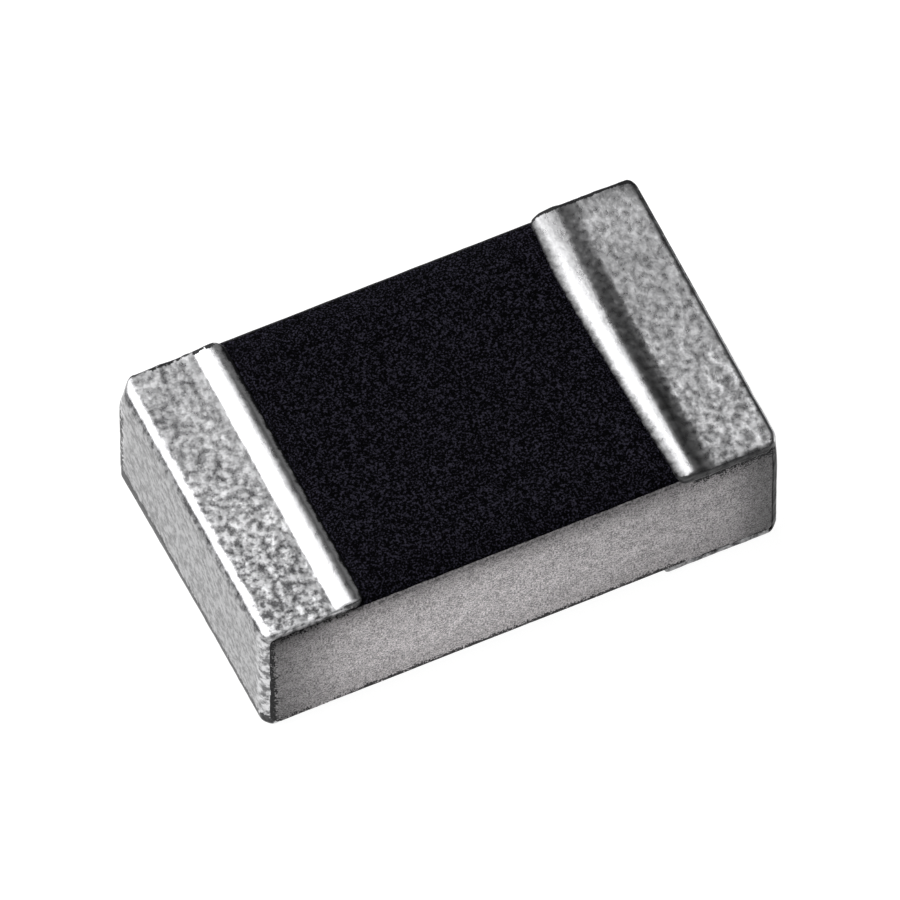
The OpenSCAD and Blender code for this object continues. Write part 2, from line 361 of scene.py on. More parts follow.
def round_ends(bm, sizes):
    """Rounds the plate's end edges, by drawing the square beside each edge in to a quarter circle."""
    for v in bm.verts:
        is_top = v.co.z > PLATE_MIDDLE
        face = PLATE_HIGH.z if is_top else PLATE_LOW.z
        radius = (sizes.top_end_radius if is_top else sizes.low_end_radius) * MM
        along = (abs(v.co.x) - PLATE_HIGH.x + radius) / radius
        upward = 1.0 - abs(v.co.z - face) / radius
        if along > 0.0 and upward > 0.0:
            along, upward = square_to_disc(along, upward)
            rise = radius * (1.0 - upward)
            v.co.x = math.copysign(PLATE_HIGH.x - radius + radius * along, v.co.x)
            v.co.z = face - rise if is_top else face + rise


def roughen_sides(bm, depth):
    """Sets the long sides back unevenly, as ceramic is where it was snapped from its sheet."""
    coarse, fine, coarse_share = 0.09, 0.03, 0.6
    coarse_seed, fine_seed = 3.0, 7.0
    sideways = 0.3
    bm.normal_update()
    for v in bm.verts:
        if abs(v.normal.y) > sideways:
            bumps = coarse_share * ripple(v.co, coarse, coarse_seed)
            bumps += (1.0 - coarse_share) * ripple(v.co, fine, fine_seed)
            v.co.y -= math.copysign(depth * (0.5 + bumps), v.normal.y)


# Black coat

def shape_coat(sizes):
    """Low pillow with a rim, its long edges slightly wavering as a print is."""
    columns, rows = 130, 120
    waver_size, ripple_size, edge_share = 0.06, 0.16, 0.92
    edge_seed, face_seed = 5.0, 11.0
    bm = bmesh.new()
    half = (COAT_HIGH - COAT_LOW) / 2.0
    middle = (COAT_HIGH + COAT_LOW) / 2.0
    bmesh.ops.create_grid(bm, x_segments=columns, y_segments=rows, size=1.0)
    bmesh.ops.scale(bm, verts=bm.verts, vec=(half.x, half.y, 1.0))
    bmesh.ops.translate(bm, verts=bm.verts, vec=(middle.x, middle.y, 0.0))
    for v in bm.verts:
        v.co.z = coat_height(sizes, v.co.x, v.co.y)
        to_edge = ramp(abs(v.co.y) / half.y, edge_share, 1.0)
        waver = 0.5 + 0.5 * ripple(v.co, waver_size, math.copysign(edge_seed, v.co.y))
        v.co.y -= math.copysign(sizes.edge_waver * MM * waver * to_edge, v.co.y)
        v.co.z += sizes.ripple * MM * (ripple(v.co, ripple_size, face_seed) - 1.0) * (1.0 - to_edge)
    rim = [e for e in bm.edges if e.is_boundary]
    skirt = bmesh.ops.extrude_edge_only(bm, edges=rim)
    for v in made_verts(skirt):
        v.co.z = PLATE_HIGH.z - BURIED / 3.0
    bmesh.ops.edgeloop_fill(bm, edges=[e for e in bm.edges if e.is_boundary])
    return bm


# Terminals

def terminal_places(side, sizes, coat):
    """Places of one terminal in millimetres, as drawn at the -X end."""
    low, high = box_mm(f"tin_plating_{side}")
    end = -max(abs(low.x), abs(high.x))
    foot = end + sizes.land * MM
    foot_on_chip = foot if side == "left" else -foot
    over_coat = coat_height(coat, foot_on_chip, 0.0)
    return SimpleNamespace(
        seed=20.0 if side == "left" else 40.0,
        end=end,
        plate_end=PLATE_LOW.x,
        arm_end=-min(abs(low.x), abs(high.x)),
        half_width=high.y,
        bottom=low.z + MERGE,
        crest_top=high.z - MERGE,
        land_top=high.z - sizes.bead_height * MM,
        foot=foot,
        foot_on_chip=foot_on_chip,
        crest=foot - sizes.nose_run * MM,
        buried_foot=over_coat - BURIED,
        nose_foot=over_coat + sizes.nose_wall * MM,
    )


def wire_run(bm, vert, x, z):
    """Draws a straight run on from a vertex, cell by cell, and returns its end."""
    start, end = vert.co.copy(), Vector((x, 0.0, z))
    steps = max(1, round((end - start).length / CELL))
    for step in range(1, steps + 1):
        vert = bmesh.ops.extrude_vert_indiv(bm, verts=[vert])["verts"][0]
        vert.co = start.lerp(end, step / steps)
    return vert


def wire_arc(bm, vert, x, z, turn):
    """Draws an arc on from a vertex round a centre and returns its end."""
    centre = Vector((x, 0.0, z))
    steps = max(FEWEST_ARC_STEPS, round((vert.co - centre).length * turn / CELL))
    made = bmesh.ops.spin(bm, geom=[vert], cent=centre, axis=(0.0, 1.0, 0.0), angle=-turn, steps=steps)
    return [item for item in made["geom_last"] if isinstance(item, bmesh.types.BMVert)][0]


def draw_outline(bm, at, sizes):
    """Outline of a terminal's outer face, from the nose on the coat round to the arm under the chip."""
    nose_run, bead_run = sizes.nose_run * MM, sizes.bead_run * MM
    bend, toe, arm = sizes.end_radius * MM, sizes.toe_radius * MM, sizes.arm_radius * MM
    nose_radius = arc_radius(nose_run, at.crest_top - at.nose_foot)
    bead_radius = arc_radius(bead_run, sizes.bead_height * MM)
    vert = bmesh.ops.create_vert(bm, co=(at.foot, 0.0, at.buried_foot))["vert"][0]
    vert = wire_run(bm, vert, at.foot, at.nose_foot)
    vert = wire_arc(bm, vert, at.crest, at.crest_top - nose_radius, math.asin(nose_run / nose_radius))
    vert = wire_arc(bm, vert, at.crest, at.crest_top - bead_radius, math.asin(bead_run / bead_radius))
    vert = wire_run(bm, vert, at.end + bend, at.land_top)
    vert = wire_arc(bm, vert, at.end + bend, at.land_top - bend, QUARTER)
    vert = wire_run(bm, vert, at.end, at.bottom + toe)
    vert = wire_arc(bm, vert, at.end + toe, at.bottom + toe, QUARTER)
    vert = wire_run(bm, vert, at.arm_end - arm, at.bottom)
    vert = wire_arc(bm, vert, at.arm_end - arm, at.bottom + arm, QUARTER)
    wire_run(bm, vert, at.arm_end, PLATE_LOW.z + BURIED)


def sweep_outline(bm, at):
    """Sweeps the outline across the chip, from -1 to 1, as a skin of even cells."""
    made = bmesh.ops.extrude_edge_only(bm, edges=bm.edges[:])
    bmesh.ops.translate(bm, verts=made_verts(made), vec=(0.0, 2.0, 0.0))
    bmesh.ops.translate(bm, verts=bm.verts, vec=(0.0, -1.0, 0.0))
    across = [e for e in bm.edges if abs(e.verts[0].co.y - e.verts[1].co.y) > 1.0]
    cuts = round(2.0 * at.half_width / CELL)
    bmesh.ops.subdivide_edges(bm, edges=across, cuts=cuts)
    bmesh.ops.recalc_face_normals(bm, faces=bm.faces)
    bm.normal_update()
    if sum(f.normal.x for f in bm.faces if abs(f.normal.x) > FACING) > 0.0:
        bmesh.ops.reverse_faces(bm, faces=bm.faces)
    bm.normal_update()


def under_chip(co):
    """How far a point counts as lying under the chip, from 0 on the end face to 1 on the solder land."""
    none, full = 0.08, 0.03
    return ramp(co.z, none, full)


def margin_radius(co, at, sizes):
    """Radius of the rolled long margin beside a point, larger at the ends of the bead."""
    nose_part = 1.0 / 3.0
    on_bead = clamp((co.z - at.land_top) / (sizes.bead_height * MM))
    on_nose = clamp((co.x - at.crest) / (nose_part * sizes.nose_run * MM)) if co.z > PLATE_MIDDLE else 0.0
    roll = (sizes.roll_radius + (sizes.foot_roll - sizes.roll_radius) * under_chip(co)) * MM
    return roll + max(on_bead, on_nose) * (sizes.bead_taper * MM - roll)


def margin_reach(co, at, sizes):
    """How far the margin beside a point reaches down its side, and whether the point is on a level face."""
    is_top = co.z > PLATE_MIDDLE
    bend = (sizes.end_radius if is_top else sizes.toe_radius) * MM
    land = BURIED + (at.land_top - PLATE_HIGH.z if is_top else PLATE_LOW.z + TOE_REACH - at.bottom)
    level = BURIED + max(0.0, co.z - PLATE_HIGH.z if is_top else PLATE_LOW.z + TOE_REACH - co.z)
    end = BURIED + at.plate_end - at.end + sizes.corner_wrap * MM
    near_land, near_end = min(land, FAN_SHARE * bend), min(end, FAN_SHARE * bend)
    along = co.x - at.end - bend
    down = at.land_top - bend - co.z if is_top else co.z - at.bottom - bend
    if along > 0.0:
        near = min(level, near_land)
        return near + (level - near) * ramp(along, 0.0, REACH_RUN), True
    if down > 0.0:
        return near_end + (end - near_end) * ramp(down, 0.0, REACH_RUN), False
    return near_land + (near_end - near_land) * ramp(-along, 0.0, bend), False


def stretch_skin(bm, at, sizes):
    """Stretches the skin to the terminal's width, less what the rolled margins take."""
    for v in bm.verts:
        v.co.y *= at.half_width - sizes.foot_inset * MM * under_chip(v.co) - margin_radius(v.co, at, sizes)


def seat_nose(bm, at, coat):
    """Lets the foot of the nose down on to the coat where the coat falls off towards the long sides."""
    for v in bm.verts:
        if abs(v.co.x - at.foot) < MERGE and v.co.z < at.buried_foot + MERGE:
            v.co.z = min(v.co.z, coat_height(coat, at.foot_on_chip, v.co.y) - BURIED)


def runs_along(edge):
    """Whether an edge of the skin follows the outline, and doesn't cross the chip at its start or end."""
    one, other = (v.co for v in edge.verts)
    return abs(one.y - other.y) < 0.5 * CELL or abs(one.x - other.x) + abs(one.z - other.z) > MERGE


def roll_margins(bm, at, sizes):
    """Rolls both long margins of the skin round and down into the ceramic."""
    for side in (-1.0, 1.0):
        beside = [e for e in bm.edges
                  if e.is_boundary and all(v.co.y * side > 0.5 * at.half_width for v in e.verts)]
        ring = [e for e in beside if runs_along(e)]
        roots = {}
        for v in {v for e in ring for v in e.verts}:
            depth, is_level = margin_reach(v.co, at, sizes)
            facing = Vector((v.normal.x, 0.0, v.normal.z)).normalized()
            level = Vector((0.0, 0.0, -1.0 if v.co.z > PLATE_MIDDLE else 1.0))
            roots[v] = (v.co.copy(), level if is_level else -facing, margin_radius(v.co, at, sizes), depth)
        for step in range(1, ROLL_RINGS + 1):
            ring = roll_ring(bm, ring, roots, side, step / ROLL_RINGS)


def roll_ring(bm, ring, roots, side, part):
    """Extrudes one ring of a rolled margin and returns its outer edges."""
    made = bmesh.ops.extrude_edge_only(bm, edges=ring)
    fresh = set(made_verts(made))
    for v in fresh:
        below = next(e.other_vert(v) for e in v.link_edges if e.other_vert(v) not in fresh)
        roots[v] = roots[below]
        start, inward, radius, depth = roots[v]
        widest = math.acos(max(0.0, 1.0 - depth / radius))
        straight = max(0.0, depth - radius)
        travel = part * (radius * widest + straight)
        turn = min(widest, travel / radius)
        further = max(0.0, travel - radius * widest)
        outward = Vector((0.0, side * radius * math.sin(turn), 0.0))
        v.co = start + outward + inward * (radius * (1.0 - math.cos(turn)) + further)
    return [e for e in made_edges(made) if e.verts[0] in fresh and e.verts[1] in fresh]


def square_toe(bm, at, sizes):
    """Draws the round bottom end edge out towards a square one, not at the front and most at the back."""
    toe = sizes.toe_radius * MM
    for v in bm.verts:
        along = (at.end + toe - v.co.x) / toe
        down = (at.bottom + toe - v.co.z) / toe
        if along > 0.0 and down > 0.0:
            to_back = clamp(0.5 + 0.5 * v.co.y / at.half_width)
            outward = math.hypot(along, down) / max(along, down) - 1.0
            grown = 1.0 + sizes.toe_square * to_back * outward
            v.co.x = at.end + toe * (1.0 - along * grown)
            v.co.z = at.bottom + toe * (1.0 - down * grown)


def upright_radius(co, at, sizes):
    """Radius of the upright corner beside a point, which changes towards the top."""
    change_run = 0.16
    to_top = ramp(co.z, at.land_top - change_run, at.land_top)
    low, top = sizes.back_corner, sizes.back_brow
    if co.y < 0.0:
        low, top = sizes.front_corner, sizes.front_brow
    return (low + (top - low) * to_top) * MM


def round_corners(bm, at, sizes):
    """Rounds the upright corners of the end and of the nose, and slants the end face."""
    nose, slant_run = sizes.nose_corner * MM, 0.18
    for v in bm.verts:
        side = math.copysign(1.0, v.co.y)
        corner = upright_radius(v.co, at, sizes)
        along = (at.end + corner - v.co.x) / corner
        across = (abs(v.co.y) - at.half_width + corner) / corner
        if along > 0.0 and across > 0.0:
            along, across = square_to_disc(along, across)
            v.co.x = at.end + corner * (1.0 - along)
            v.co.y = side * (at.half_width - corner * (1.0 - across))
        along = (v.co.x - at.foot + nose) / nose
        across = (abs(v.co.y) - at.half_width + nose) / nose
        if along > 0.0 and across > 0.0 and v.co.z > PLATE_MIDDLE:
            along, across = square_to_disc(along, across)
            v.co.x = at.foot - nose * (1.0 - along)
            v.co.y = side * (at.half_width - nose * (1.0 - across))
        to_front = clamp(0.5 - 0.5 * v.co.y / at.half_width)
        v.co.x += sizes.end_slant * MM * to_front * ramp(v.co.x, at.end + slant_run, at.end)


def uneven_skin(bm, at, sizes):
    """Gives the skin the waver of the bead, the grain of the plating and lumps along its margins."""
    bm.normal_update()
    moves = {v: bead_move(v.co, at, sizes) + grain_move(v.co, v.normal, at, sizes) for v in bm.verts}
    for v, move in moves.items():
        v.co += move


def bead_move(co, at, sizes):
    """How the plating's run-out moves one point of the bead: its waver, its slanted foot and its sag."""
    if co.z < at.land_top - BURIED and co.x < at.crest:
        return Vector()
    if co.z < PLATE_HIGH.z - sizes.end_radius * MM:
        return Vector()
    short_waver, long_share = 0.04, 0.7
    reach_start, reach_stop = 2.6, 1.0
    bow_start, crest_start, fade_start, fade_stop = 0.5, -0.1, 0.25, 0.875
    bead_run = sizes.bead_run * MM
    sideways = co.y / at.half_width
    along = Vector((0.0, co.y, 0.0))
    waver = two_ripples(along, sizes.waver_length * MM, short_waver, long_share, at.seed)
    to_bead = ramp(co.x, at.crest - reach_start * bead_run, at.crest - reach_stop * bead_run)
    to_foot = clamp((co.x - at.crest) / (sizes.nose_run * MM))
    slant = 0.5 * sizes.foot_slant * MM * sideways
    belly = sizes.foot_belly * MM * (1.0 - sideways * sideways)
    bow = sizes.bead_bow * MM * ramp(sideways, bow_start, 1.0)
    bow += sizes.crest_bow * MM * ramp(sideways, crest_start, 1.0) * (1.0 - to_foot)
    shift = to_bead * (sizes.bead_waver * MM * waver - bow)
    shift += to_foot * (slant + belly)
    down_slope = clamp((at.crest - co.x) / bead_run)
    sag = 2.0 * down_slope * (1.0 - down_slope)
    drop = sizes.bead_sag * sizes.bead_height * MM * sag
    drop += sizes.bead_fade * ramp(sideways, fade_start, fade_stop) * max(0.0, co.z - at.land_top)
    return Vector((shift, 0.0, -drop))


def grain_move(co, normal, at, sizes):
    """How the plating's grain and the lumps along its margins move one point of the skin."""
    big_grain, small_grain, big_grain_share = 0.042, 0.02, 0.65
    big_lump, small_lump, big_lump_share = 0.055, 0.022, 0.6
    nose_start, nose_stop = 0.8, 0.4
    calm_on_nose, calm_on_end, lowered_share = 0.7, 0.8, 0.6
    bead_run, bend, roll = sizes.bead_run * MM, sizes.end_radius * MM, sizes.roll_radius * MM
    to_front = ramp(co.y / at.half_width, 0.5, -0.5)
    depth = (sizes.fine_grain + (sizes.coarse_grain - sizes.fine_grain) * to_front) * MM
    on_top = 1.0 if co.z > at.land_top - BURIED else 0.0
    on_nose = on_top * ramp(co.x, at.crest - nose_start * bead_run, at.crest - nose_stop * bead_run)
    bumps = two_ripples(co, big_grain, small_grain, big_grain_share, at.seed)
    sink = depth * clamp(0.5 - bumps) * (1.0 - calm_on_nose * on_nose)
    on_end = ramp(co.x, at.end + bend, at.end)
    to_margin = ramp(abs(co.y), at.half_width - 2.0 * roll, at.half_width - roll)
    to_margin *= 1.0 - calm_on_end * on_end
    lumps = clamp(0.5 + two_ripples(co, big_lump, small_lump, big_lump_share, at.seed))
    inset = to_margin * sizes.edge_lumps * MM * lumps * (1.0 - under_chip(co))
    lowered = lowered_share * inset if co.z > PLATE_MIDDLE else 0.0
    return Vector((0.0, -math.copysign(inset, co.y), -lowered)) - normal * sink


def back_skin(bm, at, sizes):
    """Gives the skin its inner wall, level where it lies on the nickel."""
    thickness = sizes.tin_thickness * MM
    thinnest = 0.3 * thickness
    made = bmesh.ops.extrude_face_region(bm, geom=bm.faces[:], use_keep_orig=True)
    bm.normal_update()
    inner = {v: v.normal.copy() for v in made_verts(made)}
    for v, normal in inner.items():
        on_level = v.co.x > at.end + sizes.end_radius * MM and v.co.z > PLATE_HIGH.z
        outer = v.co.copy()
        v.co -= normal * thickness
        if abs(v.co.y) > abs(outer.y):
            v.co.y = outer.y
        if on_level:
            v.co.z = min(outer.z - thinnest, max(NICKEL_TOP, PLATE_HIGH.z))


def shape_terminal(side, sizes, coat):
    """Tin skin that wraps one end of the chip."""
    bm = bmesh.new()
    at = terminal_places(side, sizes, coat)
    draw_outline(bm, at, sizes)
    sweep_outline(bm, at)
    stretch_skin(bm, at, sizes)
    seat_nose(bm, at, coat)
    roll_margins(bm, at, sizes)
    square_toe(bm, at, sizes)
    round_corners(bm, at, sizes)
    uneven_skin(bm, at, sizes)
    back_skin(bm, at, sizes)
    if side == "right":
        bmesh.ops.scale(bm, verts=bm.verts, vec=(-1.0, 1.0, 1.0))
    return bm


# Node sheets and the effects that several finishes share

class NodeSheet:
    """Short way to add and link nodes in one node tree. Places and lengths are given in millimetres."""

    def __init__(self, tree):
        self.tree = tree

    def feed(self, socket, value):
        """Links a value to an input, or sets it there where it is a plain one."""
        if isinstance(value, bpy.types.NodeSocket):
            self.tree.links.new(value, socket)
        else:
            socket.default_value = value

    def fill(self, node, values):
        """Feeds inputs of a node by name or number."""
        for key, value in values.items():
            self.feed(node.inputs[key], value)

    def add(self, kind, values=None, **settings):
        """Adds a node, sets its options and feeds its inputs."""
        node = self.tree.nodes.new(kind)
        for name, value in settings.items():
            setattr(node, name, value)
        self.fill(node, values or {})
        return node

    def axes(self, place):
        """The three coordinates of a place."""
        parts = self.add("ShaderNodeSeparateXYZ", {0: place}).outputs
        return parts["X"], parts["Y"], parts["Z"]

    def noise(self, place, bumps_per_metre, detail=2.0):
        """Noise value, about 0.5 in the mean."""
        return self.add("ShaderNodeTexNoise", {
            "Vector": place, "Scale": bumps_per_metre, "Detail": detail}).outputs["Fac"]

    def spread(self, value, low, high, to_low=0.0, to_high=1.0, smooth=False):
        """Value stretched from one range to another and held there."""
        node = self.add("ShaderNodeMapRange", {
            "Value": value, "From Min": low, "From Max": high, "To Min": to_low, "To Max": to_high})
        node.interpolation_type = "SMOOTHSTEP" if smooth else "LINEAR"
        return node.outputs["Result"]

    def over(self, distance, *ramps, smooth=False):
        """Sum of ramps over a distance. Each has its start, its stop and its values there, or 0 and 1."""
        return self.total(*(self.spread(distance, start / MM, stop / MM, *values, smooth=smooth)
                            for start, stop, *values in ramps))

    def shift(self, distance, *ramps):
        """Sum of ramps over a distance, where their values are lengths."""
        return self.product(self.over(distance, *ramps), 1.0 / MM)

    def math(self, operation, first, *others):
        """One arithmetic step after another, from the first value on."""
        for other in others:
            first = self.add("ShaderNodeMath", {0: first, 1: other}, operation=operation).outputs["Value"]
        return first

    def total(self, *values):
        """Sum of the values."""
        return self.math("ADD", *values)

    def product(self, *values):
        """Product of the values."""
        return self.math("MULTIPLY", *values)

    def largest(self, *values):
        """Largest of the values."""
        return self.math("MAXIMUM", *values)

    def less(self, value, taken):
        """Value less what is taken from it."""
        return self.math("SUBTRACT", value, taken)

    def rest(self, value):
        """What a value leaves of 1."""
        return self.less(1.0, value)

    def unsigned(self, value):
        """Value without its sign."""
        return self.add("ShaderNodeMath", {0: value}, operation="ABSOLUTE").outputs["Value"]

    def mix(self, factor, first, second, kind="Color"):
        """Mix of two colours, or of two plain values."""
        node = self.add("ShaderNodeMix", data_type="RGBA" if kind == "Color" else "FLOAT")
        sockets = {socket.identifier: socket for socket in (*node.inputs, *node.outputs)}
        self.feed(sockets["Factor_Float"], factor)
        self.feed(sockets[f"A_{kind}"], first)
        self.feed(sockets[f"B_{kind}"], second)
        return sockets[f"Result_{kind}"]

    def choose(self, factor, first, second):
        """Mix of two plain values."""
        return self.mix(factor, first, second, "Float")

    def scale(self, colour_value, factor):
        """Colour scaled by a factor."""
        node = self.add("ShaderNodeVectorMath", {0: colour_value, "Scale": factor}, operation="SCALE")
        return node.outputs["Vector"]

    def bump(self, height, depth):
        """Normal of a bump of this depth."""
        node = self.add("ShaderNodeBump", {"Height": height, "Distance": depth / MM, "Strength": 1.0})
        return node.outputs["Normal"]


def rgba(value):
    """Colour with full alpha."""
    return (*value, 1.0)


def darker(value, part):
    """Colour dimmed to a part of itself."""
    return tuple(part * channel for channel in value)


def shared_group(name, inputs, outputs, draw):
    """Node group with these sockets, built once. Draw makes its outputs of its inputs."""
    if name in bpy.data.node_groups:
        return bpy.data.node_groups[name]
    group = bpy.data.node_groups.new(name, "ShaderNodeTree")
    for label, kind in inputs.items():
        group.interface.new_socket(name=label, in_out="INPUT", socket_type=kind)
    for label in outputs:
        group.interface.new_socket(name=label, in_out="OUTPUT", socket_type="NodeSocketFloat")
    sheet = NodeSheet(group)
    given = sheet.add("NodeGroupInput").outputs
    sheet.add("NodeGroupOutput", draw(sheet, given))
    return group


def draw_grain(sheet, given):
    """Coarse grain, fine grain and a blend of both."""
    grains = []
    for label in ("Coarse Size", "Fine Size"):
        value = sheet.noise(given["Place"], sheet.math("DIVIDE", 1.0, given[label]))
        grains.append(sheet.spread(value, 0.3, 0.7))
    coarse, fine = grains
    both = sheet.total(sheet.product(fine, given["Fine Share"]),
                       sheet.product(coarse, sheet.rest(given["Fine Share"])))
    return {"Coarse": coarse, "Fine": fine, "Both": both}


def grain(sheet, place, coarse, fine, fine_share):
    """The grain that fired, plated and printed faces share, with its own sizes in millimetres."""
    inputs = {"Place": "NodeSocketVector", "Coarse Size": "NodeSocketFloat",
              "Fine Size": "NodeSocketFloat", "Fine Share": "NodeSocketFloat"}
    group = shared_group("Two-sized grain", inputs, ("Coarse", "Fine", "Both"), draw_grain)
    values = {"Place": place, "Coarse Size": coarse / MM, "Fine Size": fine / MM, "Fine Share": fine_share}
    return sheet.add("ShaderNodeGroup", values, node_tree=group).outputs


def draw_dots(sheet, given):
    """Mask that is whole where nearness is 1 and breaks up into dots as it falls to 0."""
    softness = 0.2
    dots = sheet.choose(given["Coarseness"], given["Fine"], given["Coarse"])
    return {"Mask": sheet.spread(sheet.less(given["Nearness"], dots), 0.0, softness)}


def dotted(sheet, grains, nearness, coarseness):
    """The dotted mask that the ceramic's dark seams and painted shade share with the tin's painted-shade
    margins.
    """
    inputs = dict.fromkeys(("Nearness", "Fine", "Coarse", "Coarseness"), "NodeSocketFloat")
    group = shared_group("Dotted edge", inputs, ("Mask",), draw_dots)
    values = {"Nearness": nearness, "Coarseness": coarseness,
              "Fine": grains["Fine"], "Coarse": grains["Coarse"]}
    return sheet.add("ShaderNodeGroup", values, node_tree=group).outputs["Mask"]


def new_finish(name):
    """A material with its sheet, its shader and the place on the piece."""
    material = bpy.data.materials.new(name)
    material.use_nodes = True
    tree = material.node_tree
    tree.nodes.clear()
    sheet = NodeSheet(tree)
    shader = sheet.add("ShaderNodeBsdfPrincipled")
    sheet.add("ShaderNodeOutputMaterial", {"Surface": shader.outputs["BSDF"]})
    place = sheet.add("ShaderNodeTexCoord").outputs["Object"]
    return material, sheet, shader, place


# Finishes

def ceramic_finish(colours):
    """Matte fired ceramic, darker towards both ends and towards the bottom, with painted shade under the coat
    and dark patchy marks that are partly seams and partly painted shade.
    """
    material, sheet, shader, place = new_finish("fired ceramic")
    grains = grain(sheet, place, coarse=0.024, fine=0.007, fine_share=0.75)
    x, y, z = sheet.axes(place)
    # Darker towards both ends, more so at the right
    wide_end_grey = sheet.over(x, (-0.3, -0.75, 0.0, 0.12), (-0.1, 0.75, 0.0, 0.45))
    grey = sheet.over(x, (-0.6, -1.0, 0.0, 0.8), (0.72, 1.0, 0.0, 0.68), smooth=True)
    base = sheet.mix(sheet.total(wide_end_grey, grey), rgba(colours.ceramic), rgba(colours.ceramic_end))
    # Painted shade under the coat: the side darkens towards its top
    painted_shade_under_coat = sheet.product(sheet.over(z, (0.44, 0.555, 1.0, 0.42)),
                               sheet.over(z, (0.25, 0.46, 1.0, 0.88)))
    # Darker towards the bottom
    near_floor = sheet.over(z, (0.05, 0.22, 0.8, 1.0))
    dots = sheet.spread(grains["Both"], 0.2, 0.8, 0.4, 1.55)
    grained = sheet.scale(base, sheet.product(dots, painted_shade_under_coat, near_floor))
    seam = ceramic_seam_and_painted_shade(sheet, place, grains, x, y, z)
    sheet.fill(shader, {
        "Base Color": sheet.mix(seam, grained, rgba(colours.seam)),
        "Roughness": 0.8,
        "Specular IOR Level": 0.2,
        "Normal": sheet.bump(grains["Both"], 0.0008),
    })
    return material


def ceramic_seam_and_painted_shade(sheet, place, grains, x, y, z):
    """Mask of the dark dotted marks at the upright corners, under the lands and along the long edges: at the
    corners partly a dark seam and partly painted shade, under the lands and along the bottom painted shade,
    along the top back edge partly the coat's bleed and partly painted shade.
    """
    patch_size, coarseness, darkest = 0.06, 0.35, 0.92
    from_middle = sheet.unsigned(x)
    is_right = sheet.over(x, (-0.1, 0.1))
    lower = sheet.over(z, (0.5, 0.05, 0.0, 0.25))
    # Where tin meets ceramic at the upright corners: partly a dark seam, partly painted shade, darker towards
    # the bottom at the left
    left_end = sheet.total(sheet.over(from_middle, (0.928, 0.958, -0.1, 0.85)), lower)
    right_end = sheet.over(from_middle, (0.955, 0.972, 0.0, 0.5))
    at_end = sheet.choose(is_right, left_end, right_end)
    patches = sheet.spread(sheet.noise(place, MM / patch_size, 1.0), 0.4, 0.6, 0.45, 1.1)
    # Painted shade on the ceramic under the lands
    below_left = sheet.product(sheet.over(z, (0.522, 0.55, 0.0, 0.75)), patches)
    below_right = sheet.over(z, (0.45, 0.55, 0.0, 0.9))
    under_land = sheet.over(from_middle, (0.61, 0.66))
    at_land = sheet.product(sheet.choose(is_right, below_left, below_right), under_land)
    beside_arm = sheet.product(under_land, sheet.choose(is_right, 0.35, 1.0))
    # Painted contact shadow along the bottom edge
    at_foot = sheet.product(sheet.over(z, (0.08, 0.045, 0.0, 0.9)), sheet.rest(beside_arm))
    # Along the top back edge: partly the coat's bleed, partly painted shade
    at_back = sheet.product(sheet.over(y, (0.585, 0.595, 0.0, 1.2)), sheet.over(z, (0.535, 0.542)))
    nearest = sheet.largest(at_end, at_land, at_foot, at_back)
    return sheet.product(dotted(sheet, grains, nearest, coarseness), darkest)


def coat_finish(colours):
    """Matte black print with a fine pale fleck."""
    material, sheet, shader, place = new_finish("matte black coat")
    grains = grain(sheet, place, coarse=0.02, fine=0.007, fine_share=0.85)
    fleck = sheet.spread(grains["Both"], 0.48, 0.9)
    sheet.fill(shader, {
        "Base Color": sheet.mix(fleck, rgba(colours.coat), rgba(colours.coat_fleck)),
        "Roughness": 0.8,
        "Specular IOR Level": 0.03,
        "Normal": sheet.bump(grains["Both"], 0.0008),
    })
    return material


def tin_finish(colours, left, right):
    """Matte plated tin: mottled on the lands, with painted shade and a painted highlight in its tones, dark
    patchy margins that are painted shade, and a foot that thins out.
    """
    material, sheet, shader, place = new_finish("matte tin")
    grains = grain(sheet, place, coarse=0.026, fine=0.0085, fine_share=0.32)
    spot = tin_spot(sheet, place, left, right)
    left_land_tone = 1.12
    land_tone = sheet.choose(spot.is_right, left_land_tone, right_land_tone_and_painted_shade(sheet, spot))
    tone = sheet.choose(spot.on_land, tin_side_tone(sheet, spot), land_tone)
    mottle = tin_mottle(sheet, place, grains, spot)
    base = sheet.scale(sheet.mix(mottle, rgba(colours.tin_shade), rgba(colours.tin)), tone)
    # Dark mask: painted shade along the margins, and the foot where the tin thins out on the coat
    thin_foot_and_painted_shade = sheet.largest(tin_margin_painted_shade(sheet, grains, spot), tin_thin_foot(sheet, grains, spot, left, right))
    matt = sheet.largest(thin_foot_and_painted_shade, tin_burr(sheet, place, spot))
    sheet.fill(shader, {
        "Base Color": sheet.mix(thin_foot_and_painted_shade, base, rgba(colours.seam)),
        "Roughness": sheet.spread(grains["Coarse"], 0.0, 1.0, 0.26, 0.36),
        "Metallic": sheet.rest(matt),
        "Specular IOR Level": 0.05,
        "Normal": sheet.bump(grains["Both"], 0.0003),
    })
    return material


def tin_spot(sheet, place, left, right):
    """Where a point of the tin lies: its coordinates, the face it is on, and its distance from the edges."""
    x, y, z = sheet.axes(place)
    is_right = sheet.over(x, (-0.1, 0.1))
    from_middle = sheet.unsigned(x)
    width = sheet.choose(is_right, TIN_HALF["left"] / MM, TIN_HALF["right"] / MM)
    spot = SimpleNamespace(
        x=x, y=y, z=z,
        is_right=is_right,
        is_back=sheet.over(y, (-0.1, 0.1)),
        is_top=sheet.over(z, (0.54, 0.55)),
        on_land=sheet.over(z, (0.556, 0.57)),
        from_middle=from_middle,
        to_end=sheet.less(TIN_END / MM, from_middle),
        inside=sheet.less(width, sheet.unsigned(y)),
        fillet=sheet.choose(is_right, left.end_radius, right.end_radius),
    )
    spot.from_foot = tin_from_foot(sheet, spot, left, right)
    spot.from_margin = tin_from_margin(sheet, spot, left, right)
    return spot


